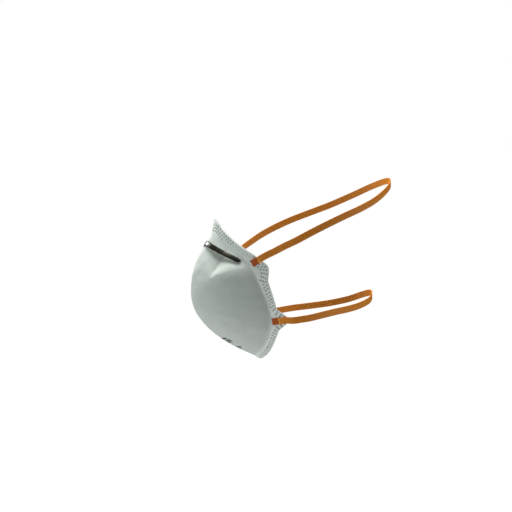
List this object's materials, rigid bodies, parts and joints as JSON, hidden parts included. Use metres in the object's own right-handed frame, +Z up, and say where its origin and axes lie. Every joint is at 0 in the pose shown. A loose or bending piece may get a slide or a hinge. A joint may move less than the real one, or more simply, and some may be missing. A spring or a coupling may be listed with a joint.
{
  "type": "disposable dust mask",
  "caption": "Moulded cup dust mask with a welded face flange, folds beside the nose, a bent metal nose clip, inner foam and orange elastic headbands that swing about their fused ends.",
  "frame": {"origin": "centre of the face opening, midway between the wearer's cheeks, nose and chin", "axes": "+Z up as worn with the head upright, the cup bulges towards -Y, the headbands run back to +Y, and +X is the wearer's left"},
  "size_m": [0.157, 0.2189, 0.1915],
  "materials": {
    "cover_web": "white spunbonded nonwoven with fine thermal bond points",
    "filter_web": "white meltblown web",
    "felt_shell": "stiff moulded needle felt",
    "lining_web": "soft white nonwoven",
    "clip_metal": "dark lacquered strip with a satin shine",
    "hot_melt": "translucent hot melt",
    "foam": "open grey foam",
    "elastic": "orange elastic with fine lengthwise ribs",
    "elastic_weld": "darker fused end of the elastic"
  },
  "bodies": {
    "mask": {"outer_cover": "cover_web", "filter_layer": "filter_web", "shaping_shell": "felt_shell", "inner_lining": "lining_web", "nose_clip": "clip_metal", "nose_clip_adhesive": "hot_melt", "nose_foam": "foam", "nose_foam_adhesive": "hot_melt", "upper_band_weld_left": "elastic_weld", "upper_band_weld_right": "elastic_weld", "lower_band_weld_left": "elastic_weld", "lower_band_weld_right": "elastic_weld"},
    "upper_headband": {"upper_headband": "elastic"},
    "lower_headband": {"lower_headband": "elastic"}
  },
  "joints": [
    {"name": "upper_headband_swing", "type": "hinge", "parent": "mask", "child": "upper_headband", "pos_m": [0, 0.0045, 0.0338], "axis": [1, 0, 0], "range_deg": [-25, 140]},
    {"name": "lower_headband_swing", "type": "hinge", "parent": "mask", "child": "lower_headband", "pos_m": [0, 0.0285, -0.0315], "axis": [1, 0, 0], "range_deg": [-140, 20]}
  ]
}
